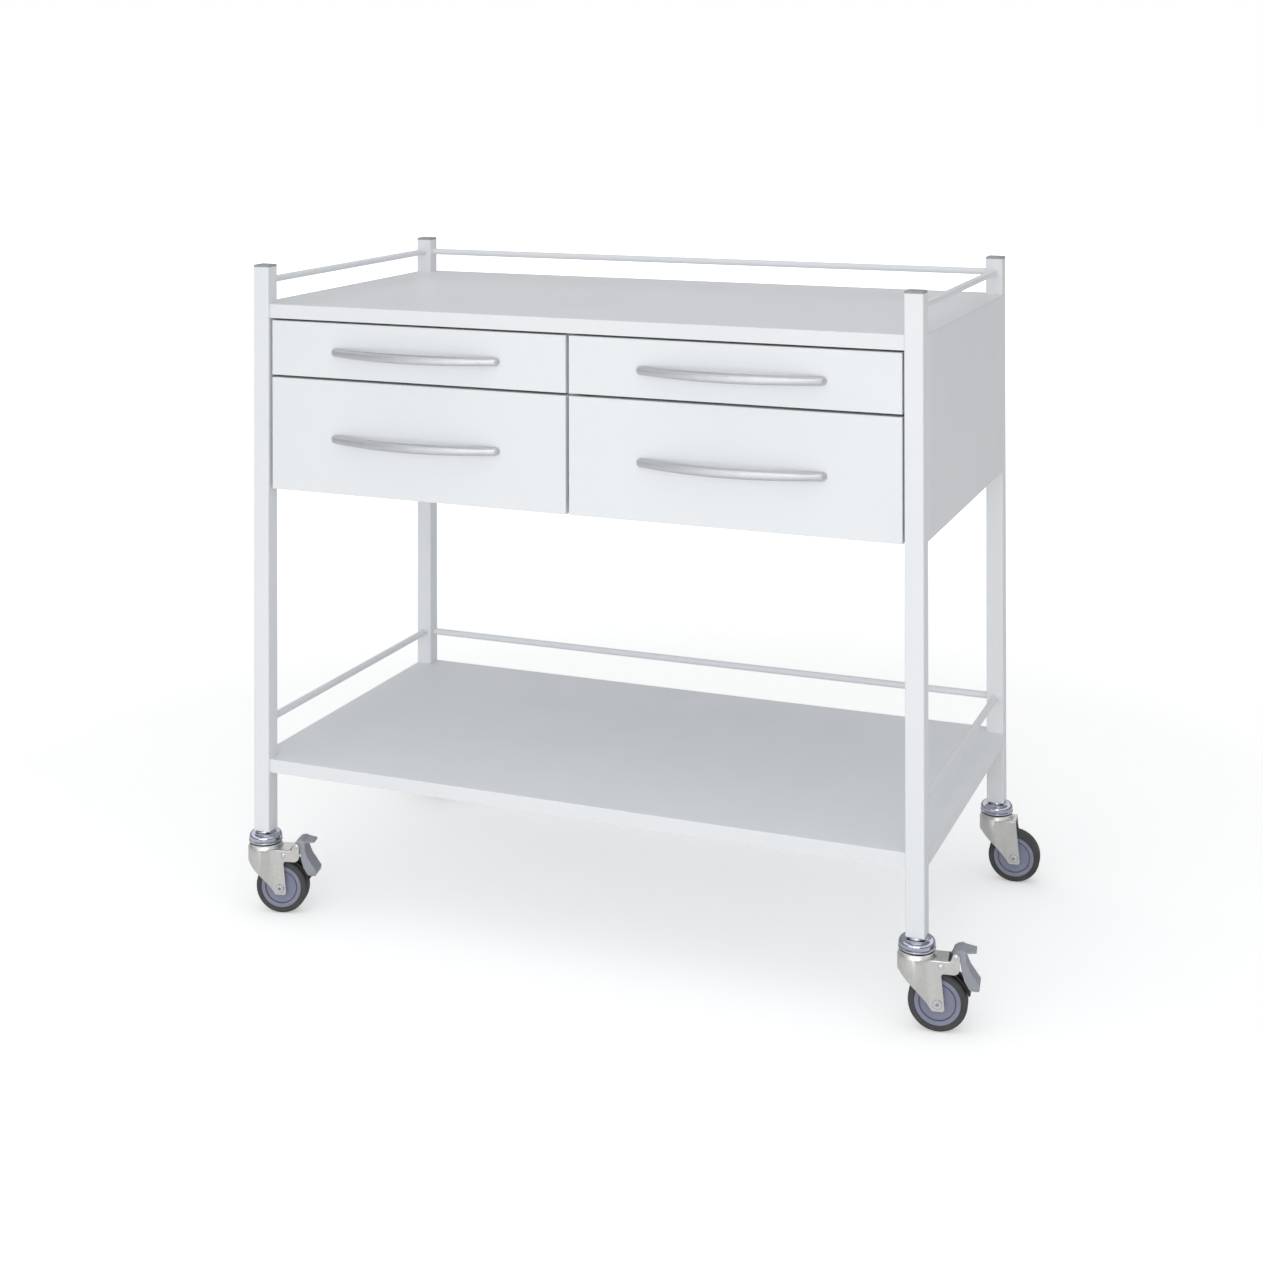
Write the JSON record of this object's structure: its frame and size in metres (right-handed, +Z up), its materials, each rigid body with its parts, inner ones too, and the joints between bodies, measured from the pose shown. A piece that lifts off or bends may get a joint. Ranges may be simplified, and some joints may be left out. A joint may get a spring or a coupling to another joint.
{
  "type": "instrument cart",
  "caption": "Steel instrument cart: square-tube frame on swivel casters, top deck with gallery rails, drawers on telescopic runners and an open lower shelf.",
  "frame": {"origin": "on the floor under the middle of the rectangle of the four posts", "axes": "+X to the cart's right as seen from the drawers, -Y to the front, where the drawers open, +Z up"},
  "size_m": [1.0599, 0.5679, 0.9299],
  "materials": {
    "white_powder_coat": "semi-gloss powder coat",
    "drawer_paint": "semi-gloss powder coat",
    "grey_cap_plastic": "matte moulded",
    "satin_aluminium": "satin",
    "zinc_steel": "zinc plated",
    "chrome": "polished",
    "pedal_steel": "grey coated pressed steel",
    "hub_plastic": "moulded blue-grey",
    "grey_rubber": "matte rubber",
    "black_shoe": "matte"
  },
  "bodies": {
    "frame": {"front_left_post": "white_powder_coat", "front_right_post": "white_powder_coat", "rear_left_post": "white_powder_coat", "rear_right_post": "white_powder_coat", "post_caps": "grey_cap_plastic", "gallery_rails": "white_powder_coat", "lower_shelf": "white_powder_coat", "upper_deck": "white_powder_coat", "left_side_panel": "white_powder_coat", "right_side_panel": "white_powder_coat", "back_panel": "white_powder_coat", "cabinet_floor": "white_powder_coat", "centre_divider": "white_powder_coat", "cabinet_runners": "zinc_steel", "caster_sockets": "zinc_steel", "caster_stems": "zinc_steel", "swivel_heads": "chrome", "swivel_bearing_balls": "chrome"},
    "upper_left_drawer": {"upper_left_drawer_box": "drawer_paint", "upper_left_drawer_front": "drawer_paint", "upper_left_handle": "satin_aluminium", "upper_left_drawer_runners": "zinc_steel"},
    "upper_left_intermediates": {"upper_left_intermediate_runners": "zinc_steel"},
    "upper_right_drawer": {"upper_right_drawer_box": "drawer_paint", "upper_right_drawer_front": "drawer_paint", "upper_right_handle": "satin_aluminium", "upper_right_drawer_runners": "zinc_steel"},
    "upper_right_intermediates": {"upper_right_intermediate_runners": "zinc_steel"},
    "lower_left_drawer": {"lower_left_drawer_box": "drawer_paint", "lower_left_drawer_front": "drawer_paint", "lower_left_handle": "satin_aluminium", "lower_left_drawer_runners": "zinc_steel"},
    "lower_left_intermediates": {"lower_left_intermediate_runners": "zinc_steel"},
    "lower_right_drawer": {"lower_right_drawer_box": "drawer_paint", "lower_right_drawer_front": "drawer_paint", "lower_right_handle": "satin_aluminium", "lower_right_drawer_runners": "zinc_steel"},
    "lower_right_intermediates": {"lower_right_intermediate_runners": "zinc_steel"},
    "front_left_swivel": {"front_left_fork": "zinc_steel", "front_left_axle": "zinc_steel", "front_left_brake_pins": "zinc_steel"},
    "front_left_wheel": {"front_left_wheel_hub": "hub_plastic", "front_left_tyre": "grey_rubber"},
    "front_left_pedal": {"front_left_brake_pedal": "pedal_steel"},
    "front_left_shoe": {"front_left_brake_shoe": "black_shoe"},
    "front_right_swivel": {"front_right_fork": "zinc_steel", "front_right_axle": "zinc_steel", "front_right_brake_pins": "zinc_steel"},
    "front_right_wheel": {"front_right_wheel_hub": "hub_plastic", "front_right_tyre": "grey_rubber"},
    "front_right_pedal": {"front_right_brake_pedal": "pedal_steel"},
    "front_right_shoe": {"front_right_brake_shoe": "black_shoe"},
    "rear_left_swivel": {"rear_left_fork": "zinc_steel", "rear_left_axle": "zinc_steel"},
    "rear_left_wheel": {"rear_left_wheel_hub": "hub_plastic", "rear_left_tyre": "grey_rubber"},
    "rear_right_swivel": {"rear_right_fork": "zinc_steel", "rear_right_axle": "zinc_steel"},
    "rear_right_wheel": {"rear_right_wheel_hub": "hub_plastic", "rear_right_tyre": "grey_rubber"}
  },
  "joints": [
    {"name": "upper_left_drawer_slide", "type": "slide", "parent": "frame", "child": "upper_left_drawer", "axis": [0, -1, 0], "range_m": [0, 0.4]},
    {"name": "upper_left_intermediate_slide", "type": "slide", "parent": "frame", "child": "upper_left_intermediates", "axis": [0, -1, 0], "range_m": [0, 0.2]},
    {"name": "upper_right_drawer_slide", "type": "slide", "parent": "frame", "child": "upper_right_drawer", "axis": [0, -1, 0], "range_m": [0, 0.4]},
    {"name": "upper_right_intermediate_slide", "type": "slide", "parent": "frame", "child": "upper_right_intermediates", "axis": [0, -1, 0], "range_m": [0, 0.2]},
    {"name": "lower_left_drawer_slide", "type": "slide", "parent": "frame", "child": "lower_left_drawer", "axis": [0, -1, 0], "range_m": [0, 0.4]},
    {"name": "lower_left_intermediate_slide", "type": "slide", "parent": "frame", "child": "lower_left_intermediates", "axis": [0, -1, 0], "range_m": [0, 0.2]},
    {"name": "lower_right_drawer_slide", "type": "slide", "parent": "frame", "child": "lower_right_drawer", "axis": [0, -1, 0], "range_m": [0, 0.4]},
    {"name": "lower_right_intermediate_slide", "type": "slide", "parent": "frame", "child": "lower_right_intermediates", "axis": [0, -1, 0], "range_m": [0, 0.2]},
    {"name": "front_left_swivel_turn", "type": "hinge", "parent": "frame", "child": "front_left_swivel", "pos_m": [-0.4775, -0.2525, 0.09], "axis": [0, 0, 1], "continuous": true},
    {"name": "front_left_wheel_spin", "type": "hinge", "parent": "front_left_swivel", "child": "front_left_wheel", "pos_m": [-0.45227, -0.24621, 0.0375], "axis": [-0.2419, 0.9703, 0], "continuous": true},
    {"name": "front_left_pedal_press", "type": "hinge", "parent": "front_left_swivel", "child": "front_left_pedal", "pos_m": [-0.42937, -0.2405, 0.0981], "axis": [-0.2419, 0.9703, 0], "range_deg": [0, 7]},
    {"name": "front_left_shoe_press", "type": "hinge", "parent": "front_left_swivel", "child": "front_left_shoe", "pos_m": [-0.44781, -0.2451, 0.0844], "axis": [-0.2419, 0.9703, 0], "range_deg": [0, 2.8]},
    {"name": "front_right_swivel_turn", "type": "hinge", "parent": "frame", "child": "front_right_swivel", "pos_m": [0.4775, -0.2525, 0.09], "axis": [0, 0, 1], "continuous": true},
    {"name": "front_right_wheel_spin", "type": "hinge", "parent": "front_right_swivel", "child": "front_right_wheel", "pos_m": [0.50318, -0.24843, 0.0375], "axis": [-0.1564, 0.9877, 0], "continuous": true},
    {"name": "front_right_pedal_press", "type": "hinge", "parent": "front_right_swivel", "child": "front_right_pedal", "pos_m": [0.52649, -0.24474, 0.0981], "axis": [-0.1564, 0.9877, 0], "range_deg": [0, 7]},
    {"name": "front_right_shoe_press", "type": "hinge", "parent": "front_right_swivel", "child": "front_right_shoe", "pos_m": [0.50772, -0.24771, 0.0844], "axis": [-0.1564, 0.9877, 0], "range_deg": [0, 2.8]},
    {"name": "rear_left_swivel_turn", "type": "hinge", "parent": "frame", "child": "rear_left_swivel", "pos_m": [-0.4775, 0.2525, 0.09], "axis": [0, 0, 1], "continuous": true},
    {"name": "rear_left_wheel_spin", "type": "hinge", "parent": "rear_left_swivel", "child": "rear_left_wheel", "pos_m": [-0.45154, 0.25386, 0.0375], "axis": [-0.0523, 0.9986, 0], "continuous": true},
    {"name": "rear_right_swivel_turn", "type": "hinge", "parent": "frame", "child": "rear_right_swivel", "pos_m": [0.4775, 0.2525, 0.09], "axis": [0, 0, 1], "continuous": true},
    {"name": "rear_right_wheel_spin", "type": "hinge", "parent": "rear_right_swivel", "child": "rear_right_wheel", "pos_m": [0.50336, 0.25522, 0.0375], "axis": [-0.1045, 0.9945, 0], "continuous": true}
  ],
  "couplings": [
    {"joint": "upper_left_intermediate_slide", "follows": "upper_left_drawer_slide", "ratio": 0.5},
    {"joint": "upper_right_intermediate_slide", "follows": "upper_right_drawer_slide", "ratio": 0.5},
    {"joint": "lower_left_intermediate_slide", "follows": "lower_left_drawer_slide", "ratio": 0.5},
    {"joint": "lower_right_intermediate_slide", "follows": "lower_right_drawer_slide", "ratio": 0.5},
    {"joint": "front_left_shoe_press", "follows": "front_left_pedal_press", "ratio": 0.4},
    {"joint": "front_right_shoe_press", "follows": "front_right_pedal_press", "ratio": 0.4}
  ]
}
